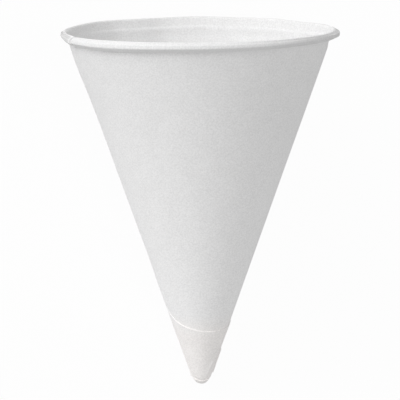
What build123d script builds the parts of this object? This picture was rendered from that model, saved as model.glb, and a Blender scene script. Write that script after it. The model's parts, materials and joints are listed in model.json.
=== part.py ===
"""Cone paper cup with a rolled rim: one sheet, wound on a cone and lapped at the side and the tip.

The cup is drawn upright about Z, with the apex of the wall's outer cone at the origin. Azimuth 0
is the front (-Y) and 90 the right (+X). Last of all it is laid on its side, as it comes to rest:
the mouth towards +Y, the lapped side lower than the other, and the ground touched by the tip and
by a small flat in the rim.

The sheet's turns are told apart by a winding angle, an azimuth that goes on past 360. The inner
end has the highest winding angle, and a lower one lies further out.
"""

import os
from math import acos, asin, atan2, ceil, cos, degrees, hypot, radians, sin, tan

from build123d import *

os.makedirs("parts", exist_ok=True)

# Overall sizes, in millimetres and degrees
paper = 0.24
rim_diameter = 75.0
wall_half_angle = 19.6
nose_radius = 2.75

# Rolled rim, along the middle of the paper: over a ridge, out, down and back under to the wall
ridge_inset = 1.6
shoulder_drop = 0.95
roll_height = 3.2
roll_under_angle = 23.0
roll_clearance = 0.12
crease_drop = 2.6
ridge_bend = 0.45
shoulder_bend = 0.75
hem_bend = 0.3

# Cut ends of the sheet: where they meet the rim, and how far the outer one passes the apex
outer_end_azimuth = -99.0
inner_end_azimuth = -68.5
edge_past_apex = 20.6
corner_azimuth = -110.0
tail_end_azimuth = -276.0
tail_end_slant = 15.1

# Lapped layers: the ramp where the sheet climbs over its inner end, the glued overlap, and how far
# the side lap runs up behind the roll
ramp_turn = 24.0
ramp_step = 0.05
glue_bite = 0.4
lap_rise = 1.0

# Lower ends of the layers, up the slant from where the round nose begins
nose_setback = 0.04
wrap_setback = 0.2
tail_setback = 2.2
wall_setback = 2.0
nose_band = 4.0

# At rest: the side that is uppermost, and the width of the flat that the soft rim lies on
upper_azimuth = 30.0
rest_width = 16.0

# The most that one straight chord of a bend turns, and one stretch between a layer's sections
chord_turn = 60.0
section_turn = 6.0

slope = radians(wall_half_angle)
half_paper = paper / 2


def on_wall(slant, lift):
    """Radius and height of a point a slant distance from the apex, lifted square off the wall."""
    return (slant * sin(slope) + lift * cos(slope), slant * cos(slope) - lift * sin(slope))


def lifted_radius(height, lift):
    """Radius at a height, on a cone lifted square off the wall."""
    return height * tan(slope) + lift / cos(slope)


def bend(before, corner, after, radius):
    """A rounded corner as a few straight chords: their end points, from tangent to tangent."""
    arriving = (corner - before).normalized()
    leaving = (after - corner).normalized()
    turn = arriving.get_signed_angle(leaving, normal=Vector(0, 0, 1))
    start = corner - arriving * radius * tan(radians(abs(turn) / 2))
    arc = JernArc(start, arriving, radius, turn, mode=Mode.PRIVATE)
    chords = ceil(abs(turn) / chord_turn)
    return [arc @ (step / chords) for step in range(chords + 1)]


def bent_line(corners, radii):
    """Points of a line through corners, rounded at each one between its ends."""
    corners = [Vector(*corner) for corner in corners]
    points = [corners[0]]
    for before, corner, after, radius in zip(corners, corners[1:], corners[2:], radii):
        points += bend(before, corner, after, radius)
    return points + [corners[-1]]


# Corners of the rim's centre line. The ridge stands a bend's radius above the wall's own line.
widest_radius = rim_diameter / 2 - half_paper
ridge_radius = widest_radius - ridge_inset
ridge_height = (ridge_radius + half_paper / cos(slope)) / tan(slope) + ridge_bend
tuck_lift = roll_clearance + half_paper
tuck_height = ridge_height - roll_height
tuck_radius = lifted_radius(tuck_height, tuck_lift)
hem_height = tuck_height + (widest_radius - tuck_radius) * tan(radians(roll_under_angle))
crease_height = ridge_height - crease_drop
crease_radius = lifted_radius(crease_height, -half_paper)


def rolled_line(growth):
    """Points of the roll from the crease to its end by the wall, moved outwards by growth."""
    corners = [
        (crease_radius, crease_height),
        (ridge_radius, ridge_height + growth),
        (widest_radius + growth, ridge_height - shoulder_drop + growth / 2),
        (widest_radius + growth, hem_height - growth),
        (tuck_radius, tuck_height - growth),
    ]
    return bent_line(corners, [ridge_bend, shoulder_bend, hem_bend])


# The outer end is one straight cut. Unrolled flat it passes the apex at edge_past_apex, and
# wound on the cone it comes down from the rim round the back, and crosses the front near the tip.
unroll = sin(slope)
rim_slant = (tuck_height + lap_rise) / cos(slope)
rim_winding = 360 + outer_end_azimuth
inner_winding = 360 + inner_end_azimuth
nearest_winding = rim_winding - degrees(acos(edge_past_apex / rim_slant)) / unroll


def outer_end_slant(winding):
    """Slant height of the sheet's outer cut end at a winding angle."""
    return edge_past_apex / cos(radians(unroll * (winding - nearest_winding)))


# The tail's edge is a straight cut too, from the sheet's corner to the tail's end
corner = Vector(outer_end_slant(corner_azimuth), 0).rotate(Axis.Z, unroll * corner_azimuth)
tail_end = Vector(tail_end_slant, 0).rotate(Axis.Z, unroll * tail_end_azimuth)
tail_direction = (tail_end - corner).normalized()
tail_normal = corner - tail_direction * corner.dot(tail_direction)
tail_bearing = atan2(tail_normal.Y, tail_normal.X)


def tail_slant(winding):
    """Slant height of the tail's cut edge at a winding angle."""
    return tail_normal.length / cos(radians(unroll * winding) - tail_bearing)


def lift_at(winding):
    """Height of the sheet's outer face off the first turn, with a ramp over the inner end."""
    if winding < inner_end_azimuth:
        return paper * (1 + min(1, (inner_end_azimuth - winding) / ramp_turn))
    climb = min(1, (inner_winding - winding) / ramp_turn)
    return ramp_step + (paper - ramp_step) * climb


def meridian(azimuth):
    """Plane through the cup's axis: x runs outwards at the azimuth, y up the axis."""
    outward = Vector(0, -1, 0).rotate(Axis.Z, azimuth)
    return Plane(origin=(0, 0, 0), x_dir=outward, z_dir=outward.cross(Vector(0, 0, 1)))


def spread(first, last):
    """Winding angles for a layer's sections, evenly spaced from one to the other."""
    steps = ceil(abs(last - first) / section_turn)
    return [first + (last - first) * step / steps for step in range(steps + 1)]


def wrap_layer(windings, slant_at, start, layers_below):
    """A layer of the sheet as a ruled loft through its sections, bitten into the layer below it."""
    bottom = paper * (layers_below - glue_bite)
    with BuildPart() as layer:
        for winding in windings:
            top = lift_at(winding)
            end = slant_at(winding)
            with BuildSketch(meridian(winding)):
                with BuildLine():
                    Polyline(
                        on_wall(start, bottom),
                        on_wall(end, bottom),
                        on_wall(end, top),
                        on_wall(start, top),
                        close=True,
                    )
                make_face()
        loft(ruled=True)
    return layer.part


# Where the straight wall runs into the round of the nose
nose_lift = paper - nose_setback
nose_centre = (nose_radius - nose_lift) / sin(slope)
nose_slant = (nose_radius - nose_lift) / tan(slope)
wrap_start = nose_slant + wrap_setback
tail_start = nose_slant + tail_setback

# The flat on the underside, where a short stretch of the sheet runs straight, not round
ground_azimuth = upper_azimuth - 180
flat_turn = degrees(asin(rest_width / 2 / widest_radius))
flat_ends = (ground_azimuth - flat_turn, ground_azimuth + flat_turn)

# Section of the first turn: the wall, the crease and the rolled rim in one strip of paper
with BuildSketch() as strip:
    with BuildLine():
        Polyline(
            on_wall(nose_slant + wall_setback, -half_paper),
            *rolled_line(0),
        )
    trace(line_width=paper)

with BuildPart() as first_turn:
    with BuildSketch(meridian(flat_ends[1])):
        add(strip.sketch)
    revolve(axis=Axis.Z, revolution_arc=360 - 2 * flat_turn)
    with BuildSketch(meridian(flat_ends[0]), meridian(flat_ends[1])):
        add(strip.sketch)
    loft(ruled=True)

# Nose: the layers pressed together into a closed round tip
inner_nose = nose_radius - nose_lift - paper
with BuildPart() as nose:
    with BuildSketch(Plane.XZ):
        with BuildLine():
            CenterArc((0, nose_centre), nose_radius, -90, 90 - wall_half_angle)
            Polyline(
                on_wall(nose_slant, nose_lift),
                on_wall(nose_slant + nose_band, nose_lift),
                on_wall(nose_slant + nose_band, nose_setback - paper),
                on_wall(nose_slant, nose_setback - paper),
                (inner_nose / 2, nose_centre - inner_nose),
                (0, nose_centre - inner_nose),
                (0, nose_centre - nose_radius),
            )
        make_face()
    revolve(axis=Axis.Z)

# Lapped layers, from the inner end outwards: side lap, back, flat, front of the tip, and the tail
flat_back = [360 + flat_ends[1], 360 + flat_ends[0]]
flat_tail = [flat_ends[1], flat_ends[0]]
side_lap = spread(inner_winding, rim_winding)
wrap_layers = [
    wrap_layer(side_lap, lambda winding: rim_slant, wrap_start, 0),
    wrap_layer(spread(rim_winding, flat_back[0]), outer_end_slant, wrap_start, 0),
    wrap_layer(flat_back, outer_end_slant, wrap_start, 0),
    wrap_layer(spread(flat_back[1], 0), outer_end_slant, wrap_start, 0),
    wrap_layer(spread(0, inner_end_azimuth), outer_end_slant, wrap_start, 0),
    wrap_layer(spread(inner_end_azimuth, corner_azimuth), outer_end_slant, tail_start, 1),
    wrap_layer(spread(corner_azimuth, flat_tail[0]), tail_slant, tail_start, 1),
    wrap_layer(flat_tail, tail_slant, tail_start, 1),
    wrap_layer(spread(flat_tail[1], tail_end_azimuth), tail_slant, tail_start, 1),
]

# Lap in the rim, where the sheet's inner end shows as a cut edge across the roll
lap_growth = paper * (1 - glue_bite / 2)
with BuildPart() as rim_lap:
    with BuildSketch(meridian(outer_end_azimuth)):
        with BuildLine():
            Polyline(*rolled_line(lap_growth))
        trace(line_width=paper)
    revolve(axis=Axis.Z, revolution_arc=inner_end_azimuth - outer_end_azimuth)

with BuildPart() as upright_cup:
    add(first_turn.part)
    add(nose.part)
    for layer in wrap_layers:
        add(layer)
    add(rim_lap.part)

# How far the axis leans from level: the ground meets the hem's round, and the tail or the nose
flat_share = cos(radians(flat_turn))
hem_turn = radians(90 - roll_under_angle)
hem_round = hem_bend + half_paper
hem_centre = (
    (widest_radius - hem_bend) * flat_share,
    hem_height + hem_bend * tan(hem_turn / 2),
)
tail_foot = on_wall(tail_start, 2 * paper)
tail_reach = (hem_centre[0] - tail_foot[0] * flat_share, hem_centre[1] - tail_foot[1])
nose_reach = (hem_centre[0], hem_centre[1] - nose_centre)
axis_lean = min(
    atan2(*tail_reach) + asin(hem_round / hypot(*tail_reach)),
    atan2(*nose_reach) - asin((nose_radius - hem_round) / hypot(*nose_reach)),
)

with BuildPart() as laid_cup:
    with Locations(Location((0, 0, 0), (degrees(axis_lean) - 90, 0, -upper_azimuth))):
        add(upright_cup.part)

# The origin is on the ground, below the middle of the cup's length and width
laid_box = laid_cup.part.bounding_box()
with BuildPart() as cone_cup:
    with Locations((-laid_box.center().X, -laid_box.center().Y, -laid_box.min.Z)):
        add(laid_cup.part)

cone_cup.part.label = "cone_cup"
export_step(cone_cup.part, "parts/cone_cup.step")
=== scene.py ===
"""Cone paper cup with a rolled rim, lying on its side, in the view of the photograph.

The cup is one sheet of white paper. It is modelled here as a thin closed mesh over its own winding:
each column is a winding angle, which goes on past 360, and each row is a place up the slant. All
sizes are in millimetres until the points are placed in the row frame.
"""

import json
from math import asin, atan2, ceil, cos, degrees, pi, radians, sin, tan

import bmesh
import bpy
import numpy as np
from mathutils import Matrix, Vector


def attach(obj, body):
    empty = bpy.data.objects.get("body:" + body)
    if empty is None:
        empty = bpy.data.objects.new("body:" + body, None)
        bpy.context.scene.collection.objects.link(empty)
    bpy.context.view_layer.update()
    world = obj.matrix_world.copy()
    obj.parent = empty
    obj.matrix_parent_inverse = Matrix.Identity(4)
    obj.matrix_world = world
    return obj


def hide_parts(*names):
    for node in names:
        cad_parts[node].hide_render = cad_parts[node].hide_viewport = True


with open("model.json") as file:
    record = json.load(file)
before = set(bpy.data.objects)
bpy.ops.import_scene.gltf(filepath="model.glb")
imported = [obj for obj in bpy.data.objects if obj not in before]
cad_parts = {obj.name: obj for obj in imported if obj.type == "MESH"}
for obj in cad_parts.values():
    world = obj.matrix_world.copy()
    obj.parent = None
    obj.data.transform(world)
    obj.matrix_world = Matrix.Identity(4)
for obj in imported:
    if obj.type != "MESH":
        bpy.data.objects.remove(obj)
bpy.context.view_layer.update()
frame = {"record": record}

# The sheet, as in the part's source
PAPER = 0.24
PITCH = 0.25
SLOPE = radians(19.6)
WIDEST = 37.38
RIDGE = (35.78, 101.29)
SHOULDER_DROP = 0.95
HEM_HEIGHT = 99.02
TUCK = (35.22, 98.09)
CREASE = (35.014, 98.690)
NOSE_SLANT = 7.0684
NOSE_CENTRE = 7.6017
DOME_RADIUS = 2.43

# The cut ends of the sheet, as winding angles and slant heights. The inner end and the long edge lie
# a little further along than in the source, where the photograph shows them
INNER_END = 653.5
OUTER_END = 261.0
TAIL_END = -276.0
EDGE_PAST_APEX = 21.4
NEAREST = 26.37
CORNER = -110.0
TAIL_END_SLANT = 15.1
UNROLL = sin(SLOPE)

# Over how many degrees the sheet climbs over its own end, and how far the roll is flattened there
RAMP = 24.0
ROLL_DROP = 0.235

# How it lies: the side uppermost, and the flat on the ground
UPPER = radians(30.0)
GROUND = -150.0
FLAT_TURN = 12.36

# The azimuth of the cup's left side in the photograph's view
LEFT_SIDE = -92.0

# The axes of the cup in the row frame, from where its rim seats, and how many metres the cone's apex
# lies below that along the axis
SEAT_FROM_APEX = 0.0979
seat = frame["record"]["mounts"][0]
axis = Vector(seat["axis"]).normalized()
lean = asin(axis.z)
front = Vector((-sin(UPPER), -cos(UPPER) * sin(lean), cos(UPPER) * cos(lean)))
right = Vector((cos(UPPER), -sin(UPPER) * sin(lean), sin(UPPER) * cos(lean)))
apex = Vector(seat["pos_m"]) - axis * SEAT_FROM_APEX


def smooth_step(x, low, high):
    """0 below low, 1 above high, and a soft S between them."""
    t = np.clip((x - low) / (high - low), 0, 1)
    return t * t * (3 - 2 * t)


def bell(x, middle, width):
    """1 at the middle, falling off softly over a width."""
    return np.exp(-((x - middle) / width) ** 2)


def azimuth_of(winding):
    """The azimuth of a winding angle, from -180 up to 180."""
    return (winding + 180) % 360 - 180


def outer_slant(winding):
    """Slant height of the sheet's outer cut end."""
    return EDGE_PAST_APEX / cos(radians(UNROLL * (winding - NEAREST)))


def on_sheet(slant, winding):
    """A point of the unrolled sheet."""
    turn = radians(UNROLL * winding)
    return np.array((slant * cos(turn), slant * sin(turn)))


corner_point = on_sheet(outer_slant(CORNER), CORNER)
tail_point = on_sheet(TAIL_END_SLANT, TAIL_END)
along_tail = (tail_point - corner_point) / np.linalg.norm(tail_point - corner_point)
tail_foot = corner_point - along_tail * np.dot(corner_point, along_tail)
tail_bearing = atan2(tail_foot[1], tail_foot[0])
tail_distance = float(np.linalg.norm(tail_foot))


def tail_slant(winding):
    """Slant height of the tail's cut edge."""
    return tail_distance / cos(radians(UNROLL * winding) - tail_bearing)


def lift_of(winding):
    """How far the sheet lies outside its first turn's place, as it winds over its own ends."""
    turns = sum(
        smooth_step(start - winding, 0, RAMP) for start in (INNER_END, INNER_END - 360, INNER_END - 720)
    )
    return PITCH * (turns - 1)


def roll_lift_of(winding):
    """The same in the rolled rim, where the inner end lies outermost over a flattened stretch."""
    return -ROLL_DROP * smooth_step(winding, INNER_END - 42, INNER_END - 30)


# The line that the middle of the paper follows up a meridian: dome, wall, crease and roll


def rounded(points, radii, step):
    """Points of a line through corners, each rounded, with straight stretches divided too."""
    points = [np.array(point, float) for point in points]
    line = [points[0]]
    for before, at, after, radius in zip(points, points[1:], points[2:], radii):
        arriving = (at - before) / np.linalg.norm(at - before)
        leaving = (after - at) / np.linalg.norm(after - at)
        turn = atan2(arriving[0] * leaving[1] - arriving[1] * leaving[0], float(arriving @ leaving))
        start = at - arriving * radius * tan(abs(turn) / 2)
        side = np.array((-arriving[1], arriving[0])) * (1 if turn > 0 else -1)
        centre = start + side * radius
        count = max(3, ceil(abs(turn) / 0.17))
        for k in range(count + 1):
            angle = turn * k / count
            spoke = start - centre
            turned = np.array(
                (
                    spoke[0] * cos(angle) - spoke[1] * sin(angle),
                    spoke[0] * sin(angle) + spoke[1] * cos(angle),
                )
            )
            line.append(centre + turned)
    line.append(points[-1])
    divided = [line[0]]
    for point in line[1:]:
        gap = np.linalg.norm(point - divided[-1])
        count = max(1, round(gap / step))
        begin = divided[-1]
        divided += [begin + (point - begin) * k / count for k in range(1, count + 1)]
    return np.array(divided)


def on_wall(slant, lift):
    """Radius and height of a point up the slant, lifted square off the wall."""
    return np.array((slant * sin(SLOPE) + lift * cos(SLOPE), slant * cos(SLOPE) - lift * sin(SLOPE)))


WALL_TOP = CREASE[1] / cos(SLOPE) - 0.5
roll_line = rounded(
    [
        on_wall(WALL_TOP, -PAPER / 2),
        CREASE,
        RIDGE,
        (WIDEST, RIDGE[1] - SHOULDER_DROP),
        (WIDEST, HEM_HEIGHT),
        TUCK,
    ],
    [1.5, 0.50, 0.80, 0.36],
    0.3,
)
ridge_row = int(np.argmax(roll_line[:, 1]))
roll_tangent = np.gradient(roll_line, axis=0)
roll_tangent /= np.linalg.norm(roll_tangent, axis=1)[:, None]


def middle_line(slant):
    """Points and inward normals of the paper's middle up the wall, and down over the dome."""
    slant = np.asarray(slant, float)
    on_cone = np.stack(
        (
            slant * sin(SLOPE) - PAPER / 2 * cos(SLOPE),
            slant * cos(SLOPE) + PAPER / 2 * sin(SLOPE),
        ),
        -1,
    )
    turn = np.clip((NOSE_SLANT - slant) / DOME_RADIUS, 0, radians(70))
    bearing = -SLOPE - turn
    on_dome = np.stack(
        (DOME_RADIUS * np.cos(bearing), NOSE_CENTRE + DOME_RADIUS * np.sin(bearing)),
        -1,
    )
    past = (slant < NOSE_SLANT)[..., None]
    place = np.where(past, on_dome, on_cone)
    inward_cone = np.broadcast_to(np.array((-cos(SLOPE), sin(SLOPE))), place.shape)
    inward_dome = np.stack((-np.cos(bearing), -np.sin(bearing)), -1)
    return place, np.where(past, inward_dome, inward_cone)


def relief(azimuth, height):
    """Small unevenness of the pressed paper, the same for every layer at one place."""
    turn = np.radians(azimuth)
    wide = 0.05 * np.sin(2 * turn + 0.6) + 0.04 * np.sin(3 * turn - height / 31 + 1.1)
    wide = wide * smooth_step(height, 12, 60)
    swell = 0.30 * bell(azimuth, -84, 20) * smooth_step(height, 74, 94)
    pressed = -0.25 * bell(azimuth, LEFT_SIDE, 30) * smooth_step(-height, -94, -85)
    pinched = -0.18 * bell(azimuth, 92, 42) * smooth_step(-height, -24, -15)
    ripple = 0.020 * np.sin(7 * turn + height / 9.0) * np.sin(height / 14.0 + 2 * turn)
    standing = smooth_step(height, 24.0, 26.5) * (1 - smooth_step(height, 31, 40))
    lapped = 0.20 * bell(azimuth, LEFT_SIDE, 24) * standing
    return wide + swell + pressed + pinched + lapped + ripple


# Where the rim departs from an even ring: at an azimuth, how far the whole roll rises, how far the
# hem rises besides, and how far the widest part and the shoulder stand out
RIM_SHAPE = np.array(
    [
        (-180.0, 0.36, 0.60, 0.00, 0.00),
        (-163.0, 0.12, 0.60, 0.00, 0.00),
        (-146.0, 0.22, 0.60, 0.00, 0.00),
        (-125.0, 0.24, 0.60, 0.00, 0.00),
        (-107.0, -0.05, 0.75, -0.15, 0.00),
        (-99.0, -0.20, 1.00, -0.60, -0.15),
        (-90.0, -0.35, 1.25, -0.55, -0.20),
        (-79.0, -0.45, 1.05, -0.75, -0.45),
        (-68.5, -0.52, 0.62, -0.33, -0.12),
        (-61.0, -0.34, 0.45, -0.12, -0.05),
        (-50.0, -0.24, 0.25, 0.00, 0.00),
        (-40.0, -0.15, 0.20, 0.00, 0.00),
        (-27.0, -0.08, 0.35, 0.00, 0.00),
        (-12.0, 0.00, 0.47, 0.00, 0.00),
        (0.0, 0.00, 0.57, 0.00, 0.00),
        (6.0, 0.00, 0.58, -0.05, -0.02),
        (26.0, 0.00, 0.70, -0.42, -0.25),
        (48.0, 0.00, 0.95, -0.50, -0.32),
        (68.0, 0.00, 0.95, -0.38, -0.22),
        (86.0, 0.05, 0.50, 0.00, 0.05),
        (110.0, 0.12, 0.57, 0.00, 0.02),
        (120.0, -0.02, 0.60, 0.00, 0.00),
        (132.0, -0.10, 0.60, 0.00, 0.00),
        (146.0, 0.18, 0.60, 0.00, 0.00),
        (163.0, 0.09, 0.60, 0.00, 0.00),
        (180.0, 0.36, 0.60, 0.00, 0.00),
    ]
)


def shaped_rim(azimuth, line, first):
    """The line up a meridian with the rim's own unevenness; from row first on, it is the roll."""
    rise, hem, widest, shoulder = (
        np.interp(azimuth, RIM_SHAPE[:, 0], RIM_SHAPE[:, place]) for place in (1, 2, 3, 4)
    )
    shaped = line.copy()
    shaped[:, 1] += rise * smooth_step(line[:, 1], 80, 98)
    if first is not None:
        past_ridge = np.arange(len(line)) > first + ridge_row
        below = smooth_step(RIDGE[1] - 0.6 - line[:, 1], 0.0, 1.1) * past_ridge
        shaped[:, 1] += hem * below
        upper = np.clip((line[:, 1] - HEM_HEIGHT) / 1.2, 0, 1)
        outer = smooth_step(line[:, 0], 35.9, 37.2) * past_ridge
        shaped[:, 0] += (widest + shoulder * upper) * outer
    return shaped


def crease_lip(azimuth, height):
    """The creased lip inside, steep above and soft below, and fainter by the lap."""
    below = CREASE[1] - 0.55
    lip = np.where(height > below, bell(height, below, 0.36), bell(height, below, 1.35))
    return 0.31 * lip * (1 - 0.8 * bell(azimuth, -100, 40))


def wrinkles(azimuth, height):
    """Slanting wrinkles round the tip, where the cone was pressed shut."""
    near = bell(height, 10.0, 5.0)
    turn = np.radians(azimuth)
    slanted = np.sin(turn * 5 + height * 1.1) * np.sin(turn * 2 - height * 0.6 + 0.8)
    one = bell(azimuth, 42 + (height - 10.5) * 5, 7) * bell(height, 10.5, 2.6)
    two = bell(azimuth, 60 + (height - 9.0) * 6, 6) * bell(height, 9.0, 2.2)
    groove = bell(height, 6.45 - (azimuth + 25) / 90, 0.24) * bell(azimuth, -25, 24)
    return 0.045 * near * slanted + 0.28 * one - 0.24 * two - 0.15 * groove


def flattened(azimuth, radius):
    """The radius with the flat on the ground side taken off, with soft ends."""
    off = np.radians((azimuth - GROUND + 180) % 360 - 180)
    limit = cos(radians(FLAT_TURN)) / np.maximum(np.cos(off), 0.2)
    softness = 0.0004
    share = 0.5 * (1 + limit - np.sqrt((1 - limit) ** 2 + softness**2))
    return radius * np.where(np.abs(off) < radians(40), share, 1.0)


# Columns of the grid: winding angles from the inner end of the sheet to the tail's end


def stretch(first, last, step):
    """Evenly spaced angles from first up to, but without, last."""
    count = max(1, ceil(abs(last - first) / step))
    return list(np.linspace(first, last, count, endpoint=False))


rolled_windings = (
    stretch(INNER_END, INNER_END - 4, 0.5)
    + stretch(INNER_END - 4, 600, 1.5)
    + stretch(600, 296, 2.4)
    + stretch(296, OUTER_END, 1.5)
)
lapped_windings = (
    stretch(OUTER_END, 236, 0.7)
    + stretch(236, 60, 2.0)
    + stretch(60, -100, 1.6)
    + stretch(-100, TAIL_END + 4, 2.0)
    + stretch(TAIL_END + 4, TAIL_END, 0.5)
    + [TAIL_END]
)
windings = np.array(rolled_windings + lapped_windings)
last_rolled = len(rolled_windings)

# Rows up the wall, with closer ones in a band at its foot and in a band at its top. Between them they
# crowd towards the foot in tall columns, and towards the top in lapped ones
WALL_ROWS = 62
FOOT_ROWS = 16
FOOT_BAND = 2.2
TOP_ROWS = 8
TOP_BAND = 2.4
TALL = 60.0
CROWDED_LOW = 1.25
CROWDED_HIGH = 1.15


def fold_line(azimuth):
    """Degrees up from the nose's pole at which the outer layer ends on the dome."""
    return 51.0 + 0.0046 * min(abs(azimuth), 58) ** 2


def fold_share(azimuth):
    """1 round the front of the nose, where the fold is plain, and 0 beyond it."""
    return float(smooth_step(azimuth, -104, -40)) * (1 - float(smooth_step(azimuth, 40, 70)))


def lower_end(winding):
    """Slant height of the sheet's lower end: pressed over the dome, with an uneven edge."""
    azimuth = azimuth_of(winding)
    uneven = 0.25 * sin(radians(azimuth) * 3 + 0.4) + 0.12 * sin(radians(azimuth) * 7)
    first_turn = 8.9 + 0.4 * uneven
    wrap = NOSE_SLANT - DOME_RADIUS * radians(90 - degrees(SLOPE) - fold_line(azimuth) - 0.8)
    wrap -= 0.45 * uneven * (1 - fold_share(azimuth))
    tail = NOSE_SLANT + 1.6 + 0.8 * uneven
    to_wrap = float(smooth_step(-winding, -300, -262))
    to_tail = float(smooth_step(-winding, 70, 112))
    return first_turn + (wrap - first_turn) * to_wrap + (tail - wrap) * to_tail


def upper_end(winding):
    """Slant height of the wall's top: the crease, the outer cut end, or the tail's edge."""
    if winding >= OUTER_END:
        return WALL_TOP
    if winding >= CORNER:
        return min(WALL_TOP, outer_slant(winding))
    return tail_slant(winding)


def crush_and_shade_of(winding):
    """How grey the roll is painted: wholly over its crushed doubled stretch, partly painted shade, and
    in part at the right, painted shade only.
    """
    azimuth = azimuth_of(winding)
    doubled = float(smooth_step(winding, INNER_END - 54, INNER_END - 44))
    doubled *= 1 - float(smooth_step(winding, INNER_END - 4, INNER_END))
    shaded_right = float(smooth_step(azimuth, 5, 50)) * (1 - float(smooth_step(azimuth, 112, 150)))
    return max(doubled, 0.15 + 0.38 * shaded_right)


# The points of the grid, on both faces of the paper, and how grey the paper is painted at each, for
# crushing and painted shade
points = []
crush_and_shade_at = []
index = {}
for column, winding in enumerate(windings):
    azimuth = azimuth_of(winding)
    low = lower_end(winding)
    high = upper_end(winding)
    share = np.linspace(0, 1, WALL_ROWS - FOOT_ROWS - TOP_ROWS)
    if high > TALL:
        share = share**CROWDED_LOW
    if column > last_rolled:
        share = 1 - (1 - share) ** CROWDED_HIGH
    foot = FOOT_BAND / (high - low)
    top = TOP_BAND / (high - low)
    share = np.concatenate(
        (
            np.linspace(0, foot, FOOT_ROWS, endpoint=False),
            foot + (1 - foot - top) * share,
            1 - top + top * np.linspace(0, 1, TOP_ROWS + 1)[1:],
        )
    )
    slants = low + (high - low) * share
    place, inward = middle_line(slants)
    wall_lift = float(lift_of(winding))
    lift = np.full(WALL_ROWS, wall_lift)
    into_roll = smooth_step(slants, 92, WALL_TOP)
    roll_lift = float(roll_lift_of(winding))
    lift = lift * (1 - into_roll) + roll_lift * into_roll
    if column > last_rolled:
        lift = np.maximum(lift, wall_lift * (1 - into_roll))
        lift = lift - 0.13 * bell(azimuth, -88, 24) * np.exp((slants - high) / 1.5)
        dip = fold_share(azimuth) * smooth_step(azimuth, -74, -40)
        lift = lift - 0.08 * dip * np.exp((low - slants) / 0.40)
        lift = lift + 0.20 * bell(azimuth, LEFT_SIDE, 26) * np.exp((low - slants) / 0.6)
    else:
        inward_roll = np.stack((-roll_tangent[1:, 1], roll_tangent[1:, 0]), -1)
        place = np.concatenate((place, roll_line[1:]))
        inward = np.concatenate((inward, inward_roll))
        lift = np.concatenate((lift, np.full(len(roll_line) - 1, roll_lift)))
    heights = place[:, 1]
    place = shaped_rim(azimuth, place, WALL_ROWS - 1 if column <= last_rolled else None)
    bump = relief(azimuth, heights) + wrinkles(azimuth, heights)
    crease_line = crease_lip(azimuth, heights) * (np.arange(len(heights)) < WALL_ROWS + 6)
    crush_and_shade_here = crush_and_shade_of(winding)
    for face, offset in enumerate((PAPER / 2, -PAPER / 2)):
        spot = place + inward * (offset - lift + crease_line)[:, None]
        radius = flattened(azimuth, spot[:, 0] + bump)
        for row in range(len(spot)):
            index[face, column, row] = len(points)
            past_ridge = row - WALL_ROWS - ridge_row
            crush_and_shade_at.append(crush_and_shade_here * float(smooth_step(past_ridge, 0, 4)))
            points.append(
                (radius[row] * sin(radians(azimuth)), radius[row] * cos(radians(azimuth)), spot[row, 1])
            )

# The faces: both faces of the paper, and across its thickness along its ends and sides
rolled_rows = WALL_ROWS + len(roll_line) - 1
rows_at = [rolled_rows if k <= last_rolled else WALL_ROWS for k in range(len(windings))]
faces = []
for column in range(len(windings) - 1):
    rows = min(rows_at[column], rows_at[column + 1])
    for row in range(rows - 1):
        for face in (0, 1):
            quad = [
                index[face, column, row],
                index[face, column, row + 1],
                index[face, column + 1, row + 1],
                index[face, column + 1, row],
            ]
            faces.append(quad if face else quad[::-1])
    for row in (0, rows - 1):
        faces.append(
            [
                index[0, column, row],
                index[0, column + 1, row],
                index[1, column + 1, row],
                index[1, column, row],
            ]
        )


def close_side(column, first, last):
    """Faces across the paper's thickness along one column."""
    for row in range(first, last):
        faces.append(
            [
                index[0, column, row],
                index[0, column, row + 1],
                index[1, column, row + 1],
                index[1, column, row],
            ]
        )


close_side(0, 0, rows_at[0] - 1)
close_side(last_rolled, WALL_ROWS - 1, rows_at[last_rolled] - 1)
close_side(len(windings) - 1, 0, WALL_ROWS - 1)

# The closed nose inside the layers' lower ends: a dome with a thick wall
NOSE_SEGMENTS = 96
NOSE_ROWS = 12
NOSE_OUTER = 2.56
NOSE_INNER = 2.25
LEDGE = 0.34
POLE_SWELL = 0.32
profile = [(0.0, NOSE_CENTRE - NOSE_INNER)]
for k in range(1, NOSE_ROWS + 1):
    angle = -pi / 2 + (pi / 2 - SLOPE) * k / NOSE_ROWS
    profile.append((NOSE_INNER * cos(angle), NOSE_CENTRE + NOSE_INNER * sin(angle)))
profile.append(tuple(on_wall(9.6, -0.50)))
profile.append(tuple(on_wall(9.6, -0.27)))
profile.append(tuple(on_wall(NOSE_SLANT + 0.9, -0.05)))

# Rows over the last fold, in degrees up from the fold's line
FOLD_ROWS = (14, 10, 7, 5, 3.5, 2.4, 1.6, 1.0, 0.5, 0.0, -0.5, -1.2, -2.2, -4, -7, -10)


def fold_point(azimuth, row):
    """Radius and height on the nose, where the last fold leaves a ledge under a groove."""
    line = fold_line(azimuth)
    if row < len(FOLD_ROWS):
        turned_up = line + FOLD_ROWS[row]
    else:
        turned_up = (line + FOLD_ROWS[-1]) * (1 - (row + 1 - len(FOLD_ROWS)) / NOSE_ROWS)
    outside = 1 - float(smooth_step(turned_up - line, -0.3, 0.6))
    ledge = outside * fold_share(azimuth)
    swell = NOSE_OUTER + LEDGE * ledge
    swell += POLE_SWELL * float(bell(turned_up, 0, 36)) * (1 - ledge)
    angle = radians(turned_up - 90)
    return swell * cos(angle), NOSE_CENTRE + swell * sin(angle)


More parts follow.
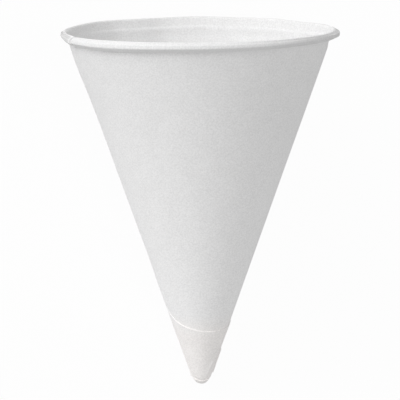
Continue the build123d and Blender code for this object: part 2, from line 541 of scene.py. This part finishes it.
# None stands for a ring over the fold, whose radius and height go by the azimuth
first_fold = len(profile)
profile += [None] * (len(FOLD_ROWS) + NOSE_ROWS - 1)
profile.append((0.0, NOSE_CENTRE - NOSE_OUTER - POLE_SWELL))
ring_of = []
for number, spot in enumerate(profile):
    radius, height = spot or (1.0, 0.0)
    if radius == 0.0:
        ring_of.append([len(points)] * NOSE_SEGMENTS)
        points.append((0.0, 0.0, height))
        continue
    ring = []
    for k in range(NOSE_SEGMENTS):
        azimuth = azimuth_of(360 * k / NOSE_SEGMENTS)
        if spot is None:
            radius, height = fold_point(azimuth, number - first_fold)
        dent = 0.05 * sin(radians(azimuth) * 3 + 0.7) * min(1.0, radius / 1.2)
        dent += float(wrinkles(azimuth, height)) * 0.7
        spread = float(flattened(azimuth, radius + dent * 0.6))
        ring.append(len(points))
        points.append((spread * sin(radians(azimuth)), spread * cos(radians(azimuth)), height))
    ring_of.append(ring)
for lower, upper in zip(ring_of, ring_of[1:]):
    for k in range(NOSE_SEGMENTS):
        after = (k + 1) % NOSE_SEGMENTS
        quad = [lower[k], lower[after], upper[after], upper[k]]
        faces.append(list(dict.fromkeys(quad)))

# Into the row frame, in metres
local = np.array(points) * 0.001
basis = np.array((right, front, axis))
placed = local @ basis + np.array(apex)
mesh = bpy.data.meshes.new("paper_sheet")
mesh.from_pydata(placed.tolist(), [], faces)
crushed_and_shaded_paper = mesh.attributes.new("crushed_and_shaded_paper", "FLOAT", "POINT")
crush_and_shade_at += [0.0] * (len(points) - len(crush_and_shade_at))
crushed_and_shaded_paper.data.foreach_set("value", crush_and_shade_at)
work = bmesh.new()
work.from_mesh(mesh)
bmesh.ops.recalc_face_normals(work, faces=work.faces)
for edge in work.edges:
    edge.smooth = edge.calc_face_angle(0) < radians(40)
for face in work.faces:
    face.smooth = True
work.to_mesh(mesh)
work.free()
sheet = bpy.data.objects.new("paper_sheet", mesh)
bpy.context.collection.objects.link(sheet)
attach(sheet, "root")
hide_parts("cone_cup")


def node(tree, kind, **settings):
    """A new node with its settings; those whose names start with in_ are its input sockets."""
    made = tree.nodes.new(kind)
    for name, value in settings.items():
        if name.startswith("in_"):
            made.inputs[name[3:].replace("_", " ")].default_value = value
        else:
            setattr(made, name, value)
    return made


# Matt white paper: faint mottling, a fibre grain and a little tooth
paper = bpy.data.materials.new("white_paper")
paper.use_nodes = True
tree = paper.node_tree
tree.nodes.clear()
output = node(tree, "ShaderNodeOutputMaterial")
shader = node(tree, "ShaderNodeBsdfPrincipled", in_IOR=1.45)
shader.inputs["Specular IOR Level"].default_value = 0.22
coordinates = node(tree, "ShaderNodeTexCoord")
cloud = node(tree, "ShaderNodeTexNoise", in_Scale=230.0, in_Detail=4.0, in_Roughness=0.6)
grain = node(tree, "ShaderNodeTexNoise", in_Scale=2300.0, in_Detail=3.0, in_Roughness=0.65)
stretched = node(tree, "ShaderNodeMapping")
stretched.inputs["Scale"].default_value = (1.0, 0.35, 1.0)
fibre = node(tree, "ShaderNodeTexNoise", in_Scale=1500.0, in_Detail=2.0, in_Roughness=0.5)
fibre.inputs["Distortion"].default_value = 1.2
tint = node(tree, "ShaderNodeValToRGB")
tint.color_ramp.elements[0].position = 0.34
tint.color_ramp.elements[0].color = (0.792, 0.790, 0.790, 1)
tint.color_ramp.elements[1].position = 0.66
tint.color_ramp.elements[1].color = (0.933, 0.931, 0.931, 1)
GRAIN_SHARE = 0.84
mottle = node(tree, "ShaderNodeMath", operation="ADD")
weighed = node(tree, "ShaderNodeMath", operation="MULTIPLY")
weighed.inputs[1].default_value = GRAIN_SHARE
weighed_cloud = node(tree, "ShaderNodeMath", operation="MULTIPLY")
weighed_cloud.inputs[1].default_value = 1 - GRAIN_SHARE
rough = node(tree, "ShaderNodeMapRange", in_To_Min=0.78, in_To_Max=0.94)
tooth = node(tree, "ShaderNodeBump", in_Strength=0.35, in_Distance=0.00006)
thread = node(tree, "ShaderNodeBump", in_Strength=0.25, in_Distance=0.00008)
link = tree.links.new
link(coordinates.outputs["Object"], cloud.inputs["Vector"])
link(coordinates.outputs["Object"], grain.inputs["Vector"])
link(coordinates.outputs["Object"], stretched.inputs["Vector"])
link(stretched.outputs["Vector"], fibre.inputs["Vector"])
link(grain.outputs["Fac"], weighed.inputs[0])
link(cloud.outputs["Fac"], weighed_cloud.inputs[0])
link(weighed.outputs[0], mottle.inputs[0])
link(weighed_cloud.outputs[0], mottle.inputs[1])
link(mottle.outputs[0], tint.inputs["Fac"])

# Painted light: whiter towards the tip and greyer towards the rim, where the light falls brighter low
# on the cup; towards the tip more layers lie on each other and look a little whiter too
along = node(tree, "ShaderNodeVectorMath", operation="DOT_PRODUCT")
along.inputs[1].default_value = axis
apex_along = apex.dot(axis)
from_rim = node(tree, "ShaderNodeMapRange", in_To_Min=1.0, in_To_Max=0.0)
from_rim.inputs["From Min"].default_value = apex_along + 0.010
from_rim.inputs["From Max"].default_value = apex_along + 0.090
lit_and_layered = node(tree, "ShaderNodeMath", operation="POWER")
lit_and_layered.inputs[1].default_value = 1.25
painted_light_whiter = node(tree, "ShaderNodeMapRange", in_To_Min=0.957, in_To_Max=1.082)
tinted = node(tree, "ShaderNodeVectorMath", operation="SCALE")
link(coordinates.outputs["Object"], along.inputs[0])
link(along.outputs["Value"], from_rim.inputs["Value"])
link(from_rim.outputs["Result"], lit_and_layered.inputs[0])
link(lit_and_layered.outputs[0], painted_light_whiter.inputs["Value"])
link(tint.outputs["Color"], tinted.inputs[0])
link(painted_light_whiter.outputs["Result"], tinted.inputs["Scale"])

# Below the long cut edge round the tip the paper is a trace warmer
by_tip = node(tree, "ShaderNodeMapRange", in_To_Min=1.0, in_To_Max=0.0)
by_tip.inputs["From Min"].default_value = apex_along + 0.019
by_tip.inputs["From Max"].default_value = apex_along + 0.025
warm = node(tree, "ShaderNodeMix", data_type="RGBA")
warm.inputs["A"].default_value = (1, 1, 1, 1)
warm.inputs["B"].default_value = (1.024, 1.0, 0.984, 1)
warmed = node(tree, "ShaderNodeVectorMath", operation="MULTIPLY")
link(along.outputs["Value"], by_tip.inputs["Value"])
link(by_tip.outputs["Result"], warm.inputs["Factor"])
link(tinted.outputs["Vector"], warmed.inputs[0])
link(warm.outputs["Result"], warmed.inputs[1])

# The roll is a little greyer, most of all over its doubled stretch, where the paper is crushed and
# shade is painted too; the grey at its right end is painted shade only
crush_and_shade_share = node(tree, "ShaderNodeAttribute", attribute_name="crushed_and_shaded_paper")
greyer_for_crush_and_shade = node(tree, "ShaderNodeMapRange", in_To_Min=1.0, in_To_Max=0.80)
toned = node(tree, "ShaderNodeVectorMath", operation="SCALE")
link(crush_and_shade_share.outputs["Fac"], greyer_for_crush_and_shade.inputs["Value"])
link(warmed.outputs["Vector"], toned.inputs[0])
link(greyer_for_crush_and_shade.outputs["Result"], toned.inputs["Scale"])
link(toned.outputs["Vector"], shader.inputs["Base Color"])

# Roughness and tooth
link(fibre.outputs["Fac"], rough.inputs["Value"])
link(rough.outputs["Result"], shader.inputs["Roughness"])
link(grain.outputs["Fac"], tooth.inputs["Height"])
link(fibre.outputs["Fac"], thread.inputs["Height"])
link(tooth.outputs["Normal"], thread.inputs["Normal"])
link(thread.outputs["Normal"], shader.inputs["Normal"])
link(shader.outputs["BSDF"], output.inputs["Surface"])
mesh.materials.append(paper)

# Floor: white to the camera, with the cup's shadow kept faint
bpy.ops.mesh.primitive_plane_add(size=6.0, location=(0, 0, 0))
floor = bpy.context.object
floor.name = "floor"
ground = bpy.data.materials.new("floor_white")
ground.use_nodes = True
tree = ground.node_tree
tree.nodes.clear()
output = node(tree, "ShaderNodeOutputMaterial")
matt = node(tree, "ShaderNodeBsdfDiffuse")
matt.inputs["Color"].default_value = (0.80, 0.80, 0.80, 1)
glow = node(tree, "ShaderNodeEmission")
glow.inputs["Strength"].default_value = 1.0
rays = node(tree, "ShaderNodeLightPath")
either = node(tree, "ShaderNodeMath", operation="MAXIMUM")
seen = node(tree, "ShaderNodeMath", operation="MULTIPLY")
seen.inputs[1].default_value = 0.96
blend = node(tree, "ShaderNodeMixShader")
link = tree.links.new
link(rays.outputs["Is Camera Ray"], either.inputs[0])
link(rays.outputs["Is Glossy Ray"], either.inputs[1])
link(either.outputs[0], seen.inputs[0])
link(seen.outputs[0], blend.inputs["Fac"])
link(matt.outputs["BSDF"], blend.inputs[1])
link(glow.outputs["Emission"], blend.inputs[2])
link(blend.outputs["Shader"], output.inputs["Surface"])
floor.data.materials.append(ground)

# World: white behind the object, and a weaker even light on it
world = bpy.data.worlds.new("studio")
bpy.context.scene.world = world
world.use_nodes = True
tree = world.node_tree
tree.nodes.clear()
output = node(tree, "ShaderNodeOutputWorld")
behind = node(tree, "ShaderNodeBackground")
behind.inputs["Color"].default_value = (1, 1, 1, 1)
around = node(tree, "ShaderNodeBackground")
around.inputs["Strength"].default_value = 0.65
rays = node(tree, "ShaderNodeLightPath")
blend = node(tree, "ShaderNodeMixShader")
link = tree.links.new
link(rays.outputs["Is Camera Ray"], blend.inputs["Fac"])
link(around.outputs["Background"], blend.inputs[1])
link(behind.outputs["Background"], blend.inputs[2])
link(blend.outputs["Shader"], output.inputs["Surface"])


# How far up the axis from the apex the lamps and the camera face, and how far off they are, in metres
LAMP_AIM = 0.07
LAMP_DISTANCE = 1.3
CAMERA_AIM = 0.050
CAMERA_DISTANCE = 1.0


def soft_light(name, toward, size, power):
    """A round lamp that faces a place on the cup's axis, from a direction in the cup's own axes."""
    direction = (right * toward[0] + front * toward[1] + axis * toward[2]).normalized()
    lamp = bpy.data.lights.new(name, "AREA")
    lamp.shape = "DISK"
    lamp.size = size
    lamp.energy = power
    holder = bpy.data.objects.new(name, lamp)
    holder.location = apex + axis * LAMP_AIM + direction * LAMP_DISTANCE
    holder.rotation_euler = (-direction).to_track_quat("-Z", "Y").to_euler()
    bpy.context.collection.objects.link(holder)


soft_light("key", (-0.8, 0.75, 0.7), 0.9, 8.1)
soft_light("mouth", (-0.4, 0.35, 1.0), 0.8, 2.5)
soft_light("right_fill", (0.8, 1.0, 0.1), 1.2, 2.6)

# The photograph's view: from the front of the cup and a little above its rim, turned by a trace
VIEW_LIFT = radians(8.3)
VIEW_ROLL = radians(0.30)
AIM_UP = 0.00497
AIM_LEFT = 0.00019
toward_camera = front * cos(VIEW_LIFT) + axis * sin(VIEW_LIFT)
picture_up = axis * cos(VIEW_LIFT) - front * sin(VIEW_LIFT)
target = apex + axis * CAMERA_AIM
position = target + toward_camera * CAMERA_DISTANCE
aim = target + picture_up * AIM_UP - right * AIM_LEFT
look = (aim - position).normalized()
level = look.cross(picture_up).normalized()
upward = level.cross(look)
across = level * cos(VIEW_ROLL) - upward * sin(VIEW_ROLL)
upright = level * sin(VIEW_ROLL) + upward * cos(VIEW_ROLL)
turned = Matrix((across, upright, -look)).transposed()
camera_data = bpy.data.cameras.new("camera")
camera_data.sensor_width = 36.0
camera_data.lens = 333.33
camera = bpy.data.objects.new("camera", camera_data)
camera.matrix_world = Matrix.Translation(position) @ turned.to_4x4()
bpy.context.collection.objects.link(camera)
bpy.context.scene.camera = camera
bpy.context.scene.view_settings.view_transform = "Standard"
